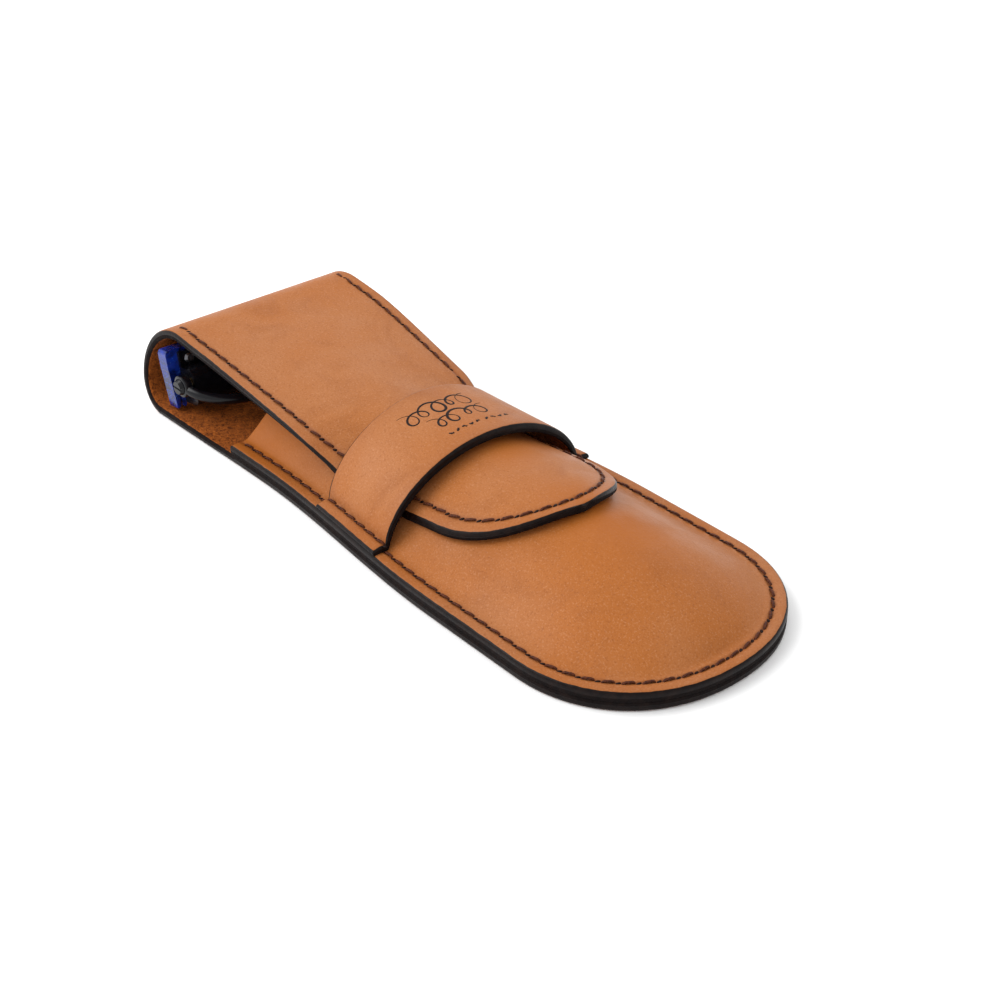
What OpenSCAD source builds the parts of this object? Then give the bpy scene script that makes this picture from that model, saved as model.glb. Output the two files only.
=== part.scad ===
// T-headed beard comb in its folded leather sheath.
// The back panel and the flap are one hide that turns over at the fold end.
// X runs from the fold to the rounded toe, Z is up, the sheath lies on z = 0.

/* [Sheath] */
// length of the sheath, fold to toe
case_l = 163.4; // [158:0.2:180]
// half the width of the hide at the fold
fold_half = 27.4; // [26.8:0.2:29]
// half the width at the waist
waist_half = 26.5; // [26:0.5:28]
// half the width over the belly and up to the toe
belly_half = 30.2; // [29:0.2:34]
// distance from the fold to the waist
waist_x = 50.4; // [45:0.2:58]
// distance from the fold to where the belly is widest
belly_x = 110.4; // [104:0.2:118]
// roundness of the toe, 2 is an ellipse
toe_n = 2.16; // [1.9:0.02:2.6]
// thickness of the hide
hide_t = 2.2; // [1.8:0.1:2.4]

/* [Fold] */
// outer radius of the lower quarter of the fold
fold_r_low = 8.2; // [8:0.1:9]
// outer radius of the upper part of the fold
fold_r_up = 14.2; // [14.2:0.1:15.2]
// slope of the flap down from the fold, degrees
flap_slope = 6.2; // [6:0.1:6.6]

/* [Pocket] */
// distance from the fold to the mouth of the pocket
mouth_x = 36.7; // [35:0.1:40]
// flat sewn border round the pocket
border = 4; // [3.6:0.1:5]
// rise of the pocket at its mouth
rise_mouth = 12.2; // [11.8:0.1:12.4]
// rise of the pocket along the handle
rise_body = 11; // [10.6:0.1:11.2]
// fullness of the pocket across, a lower value is fuller
fullness = 1.25; // [1.2:0.01:1.4]
// where the pocket starts to fall to the toe
fall_x = 118.4; // [115:0.2:122]

/* [Keeper] */
// fold side of the keeper strap
keeper_x0 = 70; // [68:0.2:72]
// width of the keeper strap
keeper_w = 22.2; // [18:0.2:26]
// height of the keeper's crown at its fold side
keeper_top = 22.3; // [21.6:0.1:24]
// thickness of the keeper's pared feet
keeper_foot_t = 1.5; // [1.2:0.1:2]
// width of the keeper's flat feet
keeper_foot_w = 3.4; // [3.4:0.1:3.8]

/* [Flap] */
// half the width of the flap at the fold
flap_half = 24.6; // [23.6:0.2:25.2]
// half the width of the tongue under the keeper
tongue_half = 20.7; // [18:0.1:20.8]
// tip of the tongue, from the fold
tongue_tip = 120.6; // [114:0.2:124]
// lean of the tongue's tip to one side
tongue_lean = 1.2; // [0:0.1:1.6]

/* [Stitches] */
// distance of the seam from the cut edge
seam_inset = 2.9; // [2.6:0.1:3.1]
// pitch of the seam stitches
seam_pitch = 3.7; // [3.2:0.1:5]
// pitch of the stitches along the flap
flap_pitch = 4.6; // [4:0.1:6]
// width of the waxed thread
thread_w = 0.8; // [0.6:0.05:0.9]

/* [Comb] */
// half the length of the comb head
head_half = 23.5; // [22:0.1:23.5]
// place of the comb across the sheath
comb_y = -2.5; // [-3:0.1:0]
// lean of the comb head toward the fold, degrees
head_lean = 10; // [7:0.5:11]
// height of the comb plate, spine to tooth tips
plate_h = 14; // [13:0.1:14]
// thickness of the comb plate
plate_t = 3.4; // [2.8:0.1:3.6]
// pitch of the teeth
tooth_pitch = 3; // [2.4:0.1:4]
// diameter of the bail's round bar
bail_d = 2.4; // [2:0.1:2.8]
// thickest diameter of the handle
handle_d = 9; // [8:0.1:9.2]
// end of the handle in the pocket, from the fold
handle_end = 135.4; // [128:0.2:137]

/* [Hidden] */
// clearance between pieces that slide or rub
gap = 0.3;
// clearance under a thread
lift = 0.06;
// thickness of the two sewn layers
sewn_t = 2 * hide_t;
toe_x = case_l - 28.5;
total_turn = 180 + flap_slope;
seg_turn = total_turn / 4;
low_c = [fold_r_low, fold_r_low];
up_c = [fold_r_up, fold_r_low];
fold_top = fold_r_low + fold_r_up;
flap_x0 = up_c[0] + fold_r_up * sin(flap_slope);
flap_z0 = up_c[1] + fold_r_up * cos(flap_slope);
keeper_x1 = keeper_x0 + keeper_w;
handle_z = hide_t + gap + 0.4 + handle_d / 2;
handle_x0 = 27.4;
pivot = [15.6, 0, 9.9];
plate_x0 = 8.8;
plate_x1 = plate_x0 + plate_t;
plate_z0 = 3.7;
block_x1 = 17.9;
block_z0 = pivot[2] - 5.2;
bar_half = head_half - 2.9;
block_h = 8.6;
web_t = 0.8;
strip_t = 0.7;
eye_t = 2;
eye_y0 = bar_half + 0.55;
shift = -case_l / 2;
tip_x = tongue_tip - 21;
$fn = 40;

// ---------- outlines and heights ----------

function mix(a, b, t) = a + (b - a) * t;
function clamp01(t) = min(1, max(0, t));
function ease(t) = clamp01(t) * clamp01(t) * (3 - 2 * clamp01(t));
function super_q(t, n) = pow(max(0, 1 - pow(clamp01(t), n)), 1 / n);

// half width of the sheath, less an inset
function case_half(x, inset = 0) =
    x < waist_x ? mix(fold_half, waist_half, ease(x / waist_x)) - inset
    : x < belly_x ? mix(waist_half, belly_half, ease((x - waist_x) / (belly_x - waist_x))) - inset
    : (belly_half - inset) * super_q((x - toe_x) / (case_l - inset - toe_x), toe_n);

// distance along X round the toe for an angle from 0 to 90
function toe_at(a, inset = 0) = toe_x + (case_l - inset - toe_x) * pow(sin(a), 2 / toe_n);

// rise of the pocket above the border along its length
function rise(x) =
    mix(rise_mouth, rise_body, ease((x - mouth_x) / 36))
    * pow(super_q((x - fall_x) / (case_l - border - 1 - fall_x), 2.2), 1.7);

// top of the front panel
function dome(x, y) =
    let (w = max(0.01, case_half(x, border)), u = min(1, abs(y) / w))
    sewn_t + rise(x) * pow(1 - u * u, fullness);

// point of the fold's outer face at a turn and a depth into the hide
function fold_at(turn, depth = 0) =
    turn < 90
        ? [low_c[0] - (fold_r_low - depth) * sin(turn), low_c[1] - (fold_r_low - depth) * cos(turn)]
        : [up_c[0] - (fold_r_up - depth) * sin(turn), up_c[1] - (fold_r_up - depth) * cos(turn)];

// turns of the fold between two limits, every 6 degrees or so
function turns(a, b) = let (n = ceil((b - a) / 6)) [for (i = [0:n]) a + (b - a) * i / n];

// half width of the hide as it turns over the fold
function fold_half_at(z) = mix(fold_half, flap_half, z / fold_top);

// half width of the flap and tongue, drawn in where the keeper holds it
function flap_half_at(x) =
    x < tip_x
        ? mix(mix(flap_half, flap_half - 2.2, ease((x - 18) / 50)), tongue_half, ease((x - 58) / 13))
        : tongue_half * super_q((x - tip_x) / (tongue_tip - tip_x), 2);

// sideways lean of the tongue
function lean(x) = tongue_lean * ease((x - 60) / 50);

// smooth upper envelope of two heights
function above(a, b, k = 0.7) = (a + b + sqrt((a - b) * (a - b) + k * k)) / 2;

// top of the flap, free from the fold and then laid on the pocket
function flap_top(x, y) =
    let (
        sag = 5 * pow(max(0, x - 25.4) / 45, 1.3) + 2 * ease((x - 58) / 13),
        v = abs(y - lean(x)) / max(1, flap_half_at(x)),
        free = flap_z0 - (x - flap_x0) * tan(flap_slope) - sag * v * v,
        rest = dome(x, y) + gap + hide_t + 0.9 * v * v * ease((x - 88) / 15))
    above(free, rest);

// outer and inner height of the keeper strap
function keeper_out(x, y) =
    let (
        w = case_half(x) - keeper_foot_w,
        u = min(1, abs(y) / w),
        foot = sewn_t + keeper_foot_t,
        crown = keeper_top - 0.036 * (x - keeper_x0))
    foot + (crown - foot) * pow(1 - u * u, 0.6);
function keeper_in(x, y) =
    let (
        w = case_half(x) - keeper_foot_w - 0.8,
        u = min(1, abs(y) / w),
        crown = keeper_top - 0.036 * (x - keeper_x0) - hide_t)
    max(sewn_t + (crown - sewn_t) * pow(1 - u * u, 0.6), dome(x, y) + (abs(y) < case_half(x, border) ? 0.05 : 0));

// ---------- builders ----------

// places across the sheath at a station, with lines at both edges and both borders
function across(x, edge_w, n) =
    let (w = case_half(x), b = case_half(x, edge_w))
    concat([-w], [for (j = [-n:n]) max(b, 0.4 * w) * sin(j * 90 / n)], [w]);

// closed sheet between two grids of points of the same size
module sheet(upper, lower) {
    rows = len(upper);
    cols = len(upper[0]);
    n = rows * cols;
    pts = concat([for (r = upper) each r], [for (r = lower) each r]);
    faces = concat(
        [for (i = [0:rows - 2], j = [0:cols - 2]) each let (a = i * cols + j) [
            [a, a + 1, a + cols + 1], [a, a + cols + 1, a + cols]]],
        [for (i = [0:rows - 2], j = [0:cols - 2]) each let (a = n + i * cols + j) [
            [a, a + cols + 1, a + 1], [a, a + cols, a + cols + 1]]],
        [for (i = [0:rows - 2]) each let (a = i * cols, b = n + i * cols) [
            [a, a + cols, b + cols], [a, b + cols, b]]],
        [for (i = [0:rows - 2]) each let (a = (i + 1) * cols - 1, b = n + (i + 1) * cols - 1) [
            [a, b + cols, a + cols], [a, b, b + cols]]],
        [for (j = [0:cols - 2]) each let (a = j, b = n + j) [[a, b + 1, a + 1], [a, b, b + 1]]],
        [for (j = [0:cols - 2]) each let (a = (rows - 1) * cols + j, b = n + (rows - 1) * cols + j) [
            [a, a + 1, b + 1], [a, b + 1, b]]]);
    polyhedron(pts, faces, convexity = 8);
}

// outline of the sheath from a start to the toe
module case_outline(x0, inset = 0) {
    body = [for (i = [0:28]) x0 + (toe_x - x0) * i / 28];
    toe = [for (a = [10:8:90]) toe_at(a, inset)];
    xs = concat(body, toe);
    last = len(xs) - 1;
    side = [for (i = [0:last]) [xs[i], case_half(xs[i], inset)]];
    polygon(concat(side, [for (i = [last:-1:0]) [side[i][0], -side[i][1]]]));
}

// strip of the fold between two turns, tapered to the hide's width
module fold_strip(a, b, reach = 0) {
    ts = turns(a, b);
    outer = [for (t = ts) fold_at(t)];
    inner = [for (i = [len(ts) - 1:-1:0]) fold_at(ts[i], hide_t)];
    intersection() {
        rotate([90, 0, 0])
            linear_extrude(height = 2 * fold_half + 2, center = true)
                polygon(concat(outer, inner));
        rotate([90, 0, 90])
            linear_extrude(height = 60, center = true)
                polygon([
                    [-fold_half, 0], [fold_half, 0],
                    [fold_half_at(fold_top + 1), fold_top + 1],
                    [-fold_half_at(fold_top + 1), fold_top + 1]]);
    }
}

// one flat-laid stitch, centred on its place and turned along the seam
module stitch(length, turn) {
    rotate([0, 0, turn])
        translate([-length / 2, -thread_w / 2, 0])
            cube([length, thread_w, 0.4]);
}

// stations of the seam along one side, from the mouth to the toe
function seam_x(s) = mouth_x + 1 + s;
seam_n = floor((toe_x - mouth_x - 2) / seam_pitch);
toe_seam = [for (a = [9:9.2:86]) a];

// side seam of one side at a height above the border, in or out of the keeper
module seam_side(side, z, on_keeper) {
    for (i = [0:seam_n]) {
        x = mouth_x + 2 + i * seam_pitch;
        held = x > keeper_x0 - 1.6 && x < keeper_x1 + 1.6;
        slope = atan(case_half(x + 1, seam_inset) - case_half(x, seam_inset));
        if (held == on_keeper && (!held || (x > keeper_x0 + 1.6 && x < keeper_x1 - 1.6)))
            translate([x, side * case_half(x, seam_inset), z])
                stitch(seam_pitch - 0.8, side * slope);
    }
}

// stitches round the toe at a height
module seam_toe(z) {
    for (a = toe_seam, side = [-1, 1]) {
        x = toe_at(a, seam_inset);
        x2 = toe_at(a + 1, seam_inset);
        y = case_half(x, seam_inset);
        y2 = case_half(x2, seam_inset);
        translate([x, side * y, z])
            stitch(seam_pitch - 0.8, side * atan2(y2 - y, x2 - x));
    }
}

// ---------- sheath ----------

module back_panel() {
    color([0.74, 0.42, 0.22]) {
        difference() {
            linear_extrude(height = hide_t)
                case_outline(low_c[0]);
            // groove under the sheath that takes the thread
            translate([0, 0, -1])
                linear_extrude(height = 1.5)
                    difference() {
                        case_outline(mouth_x, seam_inset - 0.7);
                        case_outline(mouth_x - 1, seam_inset + 0.7);
                    }
        }
        fold_strip(0, seg_turn / 2);
    }
}

module front_panel() {
    body = [for (i = [0:26]) mouth_x + (toe_x - mouth_x) * i / 26];
    toe = [for (a = [12:7:89]) toe_at(a)];
    xs = concat(body, toe);
    upper = [for (x = xs) [for (y = across(x, border, 13)) [x, y, dome(x, y)]]];
    lower = [for (x = xs) [for (y = across(x, border, 13)) [x, y, dome(x, y) - hide_t]]];
    color([0.78, 0.46, 0.24])
        sheet(upper, lower);
}

module keeper() {
    xs = [for (i = [0:6]) keeper_x0 + keeper_w * i / 6];
    upper = [for (x = xs) [for (y = across(x, keeper_foot_w, 20)) [x, y, keeper_out(x, y)]]];
    lower = [for (x = xs) [for (y = across(x, border, 20)) [x, y, keeper_in(x, y)]]];
    color([0.76, 0.44, 0.23])
        sheet(upper, lower);
}

module seam_thread_top() {
    color([0.24, 0.09, 0.07]) {
        for (side = [-1, 1]) {
            seam_side(side, sewn_t + lift, false);
            seam_side(side, sewn_t + keeper_foot_t + lift, true);
        }
        seam_toe(sewn_t + lift);
    }
}

module seam_thread_under() {
    color([0.24, 0.09, 0.07])
        translate([0, 0, 0.1]) {
            for (side = [-1, 1]) {
                seam_side(side, 0, false);
                seam_side(side, 0, true);
            }
            seam_toe(0);
        }
}

// ---------- fold and flap ----------

module fold_lower() {
    color([0.72, 0.40, 0.21])
        fold_strip(seg_turn / 2, seg_turn * 1.5);
}

module fold_middle() {
    color([0.74, 0.42, 0.22])
        fold_strip(seg_turn * 1.5, seg_turn * 2.5);
}

module fold_upper() {
    color([0.76, 0.44, 0.23])
        fold_strip(seg_turn * 2.5, seg_turn * 3.5);
}

// flap from the fold to where the keeper holds it
hold_x = keeper_x0 - 1.6;

module flap() {
    ts = turns(seg_turn * 3.5, total_turn);
    xs = [for (i = [1:18]) flap_x0 + (hold_x - flap_x0) * i / 18];
    vs = [for (j = [-12:12]) j / 12];
    arc_up = [for (t = ts) let (p = fold_at(t)) [for (v = vs) [p[0], v * fold_half_at(p[1]), p[1]]]];
    arc_dn = [for (t = ts) let (p = fold_at(t), q = fold_at(t, hide_t))
        [for (v = vs) [q[0], v * fold_half_at(p[1]), q[1]]]];
    run_up = [for (x = xs) [for (v = vs) let (y = lean(x) + v * flap_half_at(x)) [x, y, flap_top(x, y)]]];
    run_dn = [for (r = run_up) [for (p = r) [p[0], p[1], p[2] - hide_t]]];
    color([0.78, 0.46, 0.25])
        sheet(concat(arc_up, run_up), concat(arc_dn, run_dn));
}

module tongue() {
    body = [for (i = [0:10]) hold_x + (tip_x - hold_x) * i / 10];
    tip = [for (a = [8:8:88]) tip_x + (tongue_tip - tip_x) * sin(a)];
    xs = concat(body, tip);
    vs = [for (j = [-12:12]) sin(j * 90 / 12)];
    upper = [for (x = xs) [for (v = vs) let (y = lean(x) + v * flap_half_at(x)) [x, y, flap_top(x, y)]]];
    lower = [for (r = upper) [for (p = r) [p[0], p[1], p[2] - hide_t]]];
    color([0.78, 0.46, 0.25])
        sheet(upper, lower);
}

// row of stitches along both edges of the flap, on its upper face
module flap_thread_top() {
    x_start = flap_x0 + 1.5;
    n = floor((hold_x - 4 - x_start) / flap_pitch);
    color([0.24, 0.09, 0.07])
        for (i = [0:n], side = [-1, 1]) {
            x = x_start + i * flap_pitch;
            y = flap_half_at(x) - seam_inset + 0.2;
            x2 = x + 1;
            y2 = flap_half_at(x2) - seam_inset + 0.2;
            z = flap_top(x, y);
            translate([x, side * y, z + 0.16])
                rotate([side * -atan((flap_top(x, y - 0.5) - flap_top(x, y + 0.5))),
                        atan(z - flap_top(x2, y2)), side * atan(y2 - y)])
                    translate([-(flap_pitch - 0.9) / 2, -thread_w / 2, 0])
                        cube([flap_pitch - 0.9, thread_w, 0.4]);
        }
}

// ---------- comb ----------

// place of the comb's handle in the sheath
module on_handle() {
    translate([0, comb_y, 0])
        children();
}

// place of the comb's head, leaning toward the fold on its pivots
module on_head() {
    translate([pivot[0], comb_y, pivot[2]])
        rotate([0, -head_lean, 0])
            translate(-pivot)
                children();
}

// comb plate seen from the front, spine up and teeth down
module plate_outline() {
    spine_z = plate_z0 + plate_h * 0.6;
    n = floor((head_half - 2.2) / tooth_pitch);
    translate([-head_half, spine_z])
        offset(r = 1)
            offset(r = -1)
                square([2 * head_half, plate_h * 0.4]);
    for (k = [-n:n])
        translate([k * tooth_pitch, 0])
            polygon([
                [-0.85, spine_z + 1.5], [-0.8, spine_z], [-0.45, plate_z0 + 0.5], [0, plate_z0],
                [0.45, plate_z0 + 0.5], [0.8, spine_z], [0.85, spine_z + 1.5]]);
    // stout guard teeth at both ends
    for (s = [0, 1])
        mirror([s, 0])
            polygon([
                [head_half - 1.75, spine_z + 2], [head_half - 1.5, plate_z0 + 0.6],
                [head_half - 1, plate_z0], [head_half - 0.5, plate_z0 + 0.2],
                [head_half - 0.1, spine_z], [head_half - 0.1, spine_z + 2]]);
}

rivet_ys = [-18, -6, 6, 18];

module comb_plate() {
    color([0.10, 0.18, 0.42])
        on_head() difference() {
            translate([plate_x1, 0, 0])
                rotate([90, 0, -90])
                    linear_extrude(height = plate_t)
                        plate_outline();
            for (y = rivet_ys)
                translate([plate_x0 - 1, y * head_half / 23.5, plate_z0 + plate_h * 0.8])
                    rotate([0, 90, 0])
                        cylinder(h = plate_t + 2, r = 0.8, $fn = 24);
        }
}

// block behind the comb plate that carries it between the pivots
module head_bar() {
    color([0.05, 0.05, 0.06])
        on_head() difference() {
            union() {
                translate([plate_x1, 0, block_z0])
                    rotate([90, 0, 0])
                        linear_extrude(height = 2 * bar_half, center = true)
                            hull() {
                                square([0.5, block_h]);
                                for (z = [1.6, block_h - 1.6])
                                    translate([block_x1 - plate_x1 - 1.6, z])
                                        circle(r = 1.6);
                            }
                // web that rises behind the spine for the rivets
                translate([plate_x1, -bar_half, pivot[2]])
                    cube([web_t, 2 * bar_half, plate_z0 + plate_h - 0.8 - pivot[2]]);
            }
            for (y = rivet_ys)
                translate([plate_x1 - 1, y * head_half / 23.5, plate_z0 + plate_h * 0.8])
                    rotate([0, 90, 0])
                        cylinder(h = web_t + 2, r = 0.8, $fn = 24);
            for (s = [-1, 1])
                translate([pivot[0], s * bar_half, pivot[2]])
                    rotate([90, 0, 0])
                        cylinder(h = 8, r = 0.8, center = true, $fn = 24);
        }
}

// polished strip on the front of the spine
module head_strip() {
    color([0.55, 0.56, 0.58])
        on_head() difference() {
            translate([plate_x0 - strip_t, -head_half + 1, plate_z0 + plate_h * 0.65])
                cube([strip_t, 2 * head_half - 2, plate_h * 0.3]);
            for (y = rivet_ys)
                translate([plate_x0 - 2, y * head_half / 23.5, plate_z0 + plate_h * 0.8])
                    rotate([0, 90, 0])
                        cylinder(h = 4, r = 0.8, $fn = 24);
        }
}

module head_rivets() {
    through = plate_t + strip_t + web_t;
    color([0.75, 0.75, 0.77])
        on_head() for (y = rivet_ys)
            translate([plate_x0 - strip_t, y * head_half / 23.5, plate_z0 + plate_h * 0.8])
                rotate([0, 90, 0]) {
                    cylinder(h = through, r = 0.75, $fn = 24);
                    translate([0, 0, -0.5])
                        cylinder(h = 0.5, r1 = 0.8, r2 = 1.3, $fn = 24);
                    translate([0, 0, through])
                        cylinder(h = 0.5, r1 = 1.3, r2 = 0.8, $fn = 24);
                }
}

// centre line of the bail for an angle from 0 to 180
function bail_at(a) = [
    pivot[0] + (handle_x0 - 1 - pivot[0]) * pow(sin(a), 0.9),
    (eye_y0 + eye_t / 2) * (cos(a) < 0 ? -1 : 1) * pow(abs(cos(a)), 0.65),
    mix(pivot[2], handle_z, sin(a))];

module bail() {
    as = [for (i = [0:40]) mix(9, 171, i / 40)];
    path = [for (a = as) bail_at(a)];
    ring = 14;
    up = [0, 0, 1];
    pts = [for (i = [0:40]) let (
            d = path[min(40, i + 1)] - path[max(0, i - 1)],
            t = d / norm(d),
            s = cross(t, up) / norm(cross(t, up)),
            n = cross(s, t))
        for (k = [0:ring - 1])
            path[i] + bail_d / 2 * (cos(k * 360 / ring) * s + sin(k * 360 / ring) * n)];
    faces = concat(
        [for (i = [0:39], k = [0:ring - 1]) let (k2 = (k + 1) % ring)
            [i * ring + k2, (i + 1) * ring + k2, (i + 1) * ring + k, i * ring + k]],
        [[for (k = [ring - 1:-1:0]) k], [for (k = [0:ring - 1]) 40 * ring + k]]);
    color([0.07, 0.07, 0.08])
        on_handle() difference() {
            union() {
                polyhedron(pts, faces, convexity = 6);
                for (s = [-1, 1])
                    translate([pivot[0], s * (eye_y0 + eye_t / 2), pivot[2]])
                        rotate([90, 0, 0])
                            cylinder(h = eye_t, r = 2.6, center = true);
            }
            translate([pivot[0], 0, pivot[2]])
                rotate([90, 0, 0])
                    cylinder(h = 80, r = 1.08, center = true, $fn = 28);
            // flat shoulder where the bail meets the ferrule
            translate([handle_x0 - 1, -5, handle_z - 5])
                cube([10, 10, 10]);
        }
}

module pivot_screws() {
    head_y = eye_y0 + eye_t + 0.1;
    color([0.08, 0.08, 0.09])
        for (s = [-1, 1])
            translate([pivot[0], comb_y, pivot[2]])
                rotate([s * -90, 0, 0]) {
                    translate([0, 0, bar_half - 3.2])
                        cylinder(h = 3.3, r = 0.75, $fn = 28);
                    translate([0, 0, bar_half])
                        cylinder(h = head_y - bar_half + 0.1, r = 1, $fn = 28);
                    difference() {
                        translate([0, 0, head_y])
                            cylinder(h = 0.8, r1 = 1.9, r2 = 1.5, $fn = 28);
                        translate([-3, -0.25, head_y + 0.5])
                            cube([6, 0.5, 2]);
                    }
                }
}

module pivot_washers() {
    color([0.80, 0.68, 0.40])
        on_handle() for (s = [-1, 1])
            translate([pivot[0], s * (bar_half + 0.27), pivot[2]])
                rotate([90, 0, 0])
                    difference() {
                        cylinder(h = 0.4, r = 1.6, center = true, $fn = 28);
                        cylinder(h = 1, r = 1.1, center = true, $fn = 28);
                    }
}

// turned piece on the handle's axis from a list of [x, radius]
module turned(stations, bore = 0) {
    last = len(stations) - 1;
    translate([0, comb_y, handle_z])
        rotate([0, 90, 0])
            rotate_extrude($fn = 48)
                polygon(concat(
                    [[bore, stations[0][0]]],
                    [for (p = stations) [p[1], p[0]]],
                    [[bore, stations[last][0]]]));
}

ferrule_x1 = handle_x0 + 8;
cap_x0 = handle_end - 8;
bar_r = handle_d / 2;

module ferrule() {
    color([0.08, 0.08, 0.09])
        turned([
            [handle_x0 - 1, 2], [handle_x0 - 0.4, 2.6], [handle_x0 + 1.5, 2.8], [handle_x0 + 3.5, bar_r - 0.7],
            [handle_x0 + 5, bar_r - 0.2], [ferrule_x1 - 0.3, bar_r - 0.2], [ferrule_x1, bar_r - 0.5]], 1.55);
}

// swell of the barrel between ferrule and cap
function barrel_r(t) = bar_r - 0.25 + 0.25 * sin(180 * pow(t, 0.6)) - 0.3 * t;

module barrel() {
    color([0.11, 0.20, 0.46])
        difference() {
            turned([for (i = [0:24]) [mix(ferrule_x1, cap_x0, i / 24), barrel_r(i / 24)]], 1.6);
            // seats of the rubber rings
            for (i = [0:2])
                translate([ferrule_x1 + 10 + i * 5, comb_y, handle_z])
                    rotate([0, 90, 0])
                        difference() {
                            cylinder(h = 2.2, r = 8, center = true);
                            cylinder(h = 3, r = bar_r - 0.8, center = true);
                        }
        }
}

module grip_rings() {
    color([0.06, 0.06, 0.06])
        for (i = [0:2])
            turned([
                [ferrule_x1 + 9 + i * 5, bar_r - 0.5], [ferrule_x1 + 9.3 + i * 5, bar_r],
                [ferrule_x1 + 10.7 + i * 5, bar_r], [ferrule_x1 + 11 + i * 5, bar_r - 0.5]], bar_r - 0.78);
}

module end_cap() {
    color([0.08, 0.08, 0.09])
        turned([
            [cap_x0, bar_r - 0.75], [cap_x0 + 0.4, bar_r - 0.5], [cap_x0 + 5, bar_r - 0.6],
            [cap_x0 + 6.6, bar_r - 1.1], [cap_x0 + 7.6, bar_r - 2.2], [cap_x0 + 8, bar_r - 3.2],
            [cap_x0 + 8, 0.001]], 1.55);
}

module core_rod() {
    color([0.5, 0.5, 0.52])
        translate([handle_x0 + 0.5, comb_y, handle_z])
            rotate([0, 90, 0])
                cylinder(h = cap_x0 + 4 - handle_x0, r = 1.5, $fn = 32);
}

translate([shift, 0, 0]) {
    back_panel();
    front_panel();
    keeper();
    seam_thread_top();
    seam_thread_under();
    fold_lower();
    fold_middle();
    fold_upper();
    flap();
    tongue();
    flap_thread_top();
    comb_plate();
    head_bar();
    head_strip();
    head_rivets();
    bail();
    pivot_screws();
    pivot_washers();
    ferrule();
    barrel();
    grip_rings();
    end_cap();
    core_rod();
}
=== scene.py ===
"""T-headed beard comb in its folded leather sheath.

The sheath's hide, pocket, keeper and thread are worked out here as fine surfaces around the
CAD bodies.  Lengths are in millimetres from the fold until a mesh is written in metres.
"""

import math

import bmesh
import bpy
import numpy as np
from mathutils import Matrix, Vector


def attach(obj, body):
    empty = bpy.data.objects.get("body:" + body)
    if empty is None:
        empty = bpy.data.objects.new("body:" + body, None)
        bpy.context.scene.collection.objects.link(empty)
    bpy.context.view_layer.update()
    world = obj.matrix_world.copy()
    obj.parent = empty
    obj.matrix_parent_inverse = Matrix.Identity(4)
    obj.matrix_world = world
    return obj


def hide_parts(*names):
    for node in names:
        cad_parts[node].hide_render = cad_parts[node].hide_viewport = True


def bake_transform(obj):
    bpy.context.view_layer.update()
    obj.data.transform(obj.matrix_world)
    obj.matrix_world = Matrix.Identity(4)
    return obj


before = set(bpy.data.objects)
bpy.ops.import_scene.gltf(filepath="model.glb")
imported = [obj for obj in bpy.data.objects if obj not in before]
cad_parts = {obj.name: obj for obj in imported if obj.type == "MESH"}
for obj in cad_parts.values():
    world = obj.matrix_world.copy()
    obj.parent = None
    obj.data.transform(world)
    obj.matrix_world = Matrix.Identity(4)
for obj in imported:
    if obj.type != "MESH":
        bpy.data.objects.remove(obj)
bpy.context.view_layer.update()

MM = 0.001
SHIFT = -81.7          # the fold's place along X, so that the frame is centred

# sheath
CASE_L = 163.4
FOLD_HALF, WAIST_HALF, BELLY_HALF = 27.4, 26.5, 30.2
WAIST_X, BELLY_X = 50.4, 110.4
TOE_X, TOE_N = CASE_L - 28.5, 2.16
HIDE_T = 2.2
SEWN_T = 2 * HIDE_T
# fold
LOW_R, UP_R = 8.2, 14.2
FLAP_SLOPE = math.radians(6.2)
TURN = math.pi + FLAP_SLOPE
SEG = TURN / 4
FOLD_TOP = LOW_R + UP_R
FLAP_X0 = UP_R + UP_R * math.sin(FLAP_SLOPE)
FLAP_Z0 = LOW_R + UP_R * math.cos(FLAP_SLOPE)
# pocket
MOUTH_X, BORDER = 36.7, 4.0
RISE_MOUTH, RISE_BODY, FULLNESS, FALL_X = 12.2, 11.0, 1.25, 118.4
# keeper
KEEPER_X0, KEEPER_W, KEEPER_TOP = 70.0, 22.2, 22.3
FOOT_T, FOOT_W = 1.5, 3.4
KEEPER_X1 = KEEPER_X0 + KEEPER_W
# flap
FLAP_HALF, TONGUE_HALF, TONGUE_TIP, LEAN = 24.6, 20.7, 120.6, 1.2
TIP_X, TIP_N = TONGUE_TIP - 21.0, 2.0
CUT_X = 58.0           # where the flap's surface is cut into flap and tongue
# stitches
SEAM_INSET, SEAM_PITCH = 2.9, 3.7
FLAP_INSET, FLAP_PITCH = 2.9, 3.9
GAP = 0.3
# finish of the hide's borders: widths of paint, thread groove and handling, and groove depth
PAINT_W, GROOVE_W, RUB_W = 0.42, 0.5, 2.4
FLAP_GROOVE = 0.26
# comb
PIVOT = np.array([15.6, -2.5, 9.9])
HANDLE_D, HANDLE_END, HANDLE_X0 = 9.0, 135.4, 27.4
HANDLE_Z = HIDE_T + GAP + 0.4 + HANDLE_D / 2
EYE_Y, BAIL_D = 22.15, 2.4


# ---------------------------------------------------------------- shapes

def mix(a, b, t):
    """Straight blend of a and b."""
    return a + (b - a) * t


def ease(t):
    """Smooth step: three t squared less two t cubed, held between 0 and 1."""
    t = np.clip(t, 0, 1)
    return t * t * (3 - 2 * t)


def super_q(t, n):
    """Superellipse quadrant: the n-th root of one less t to the n."""
    return np.maximum(0, 1 - np.clip(t, 0, 1) ** n) ** (1 / n)


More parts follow.
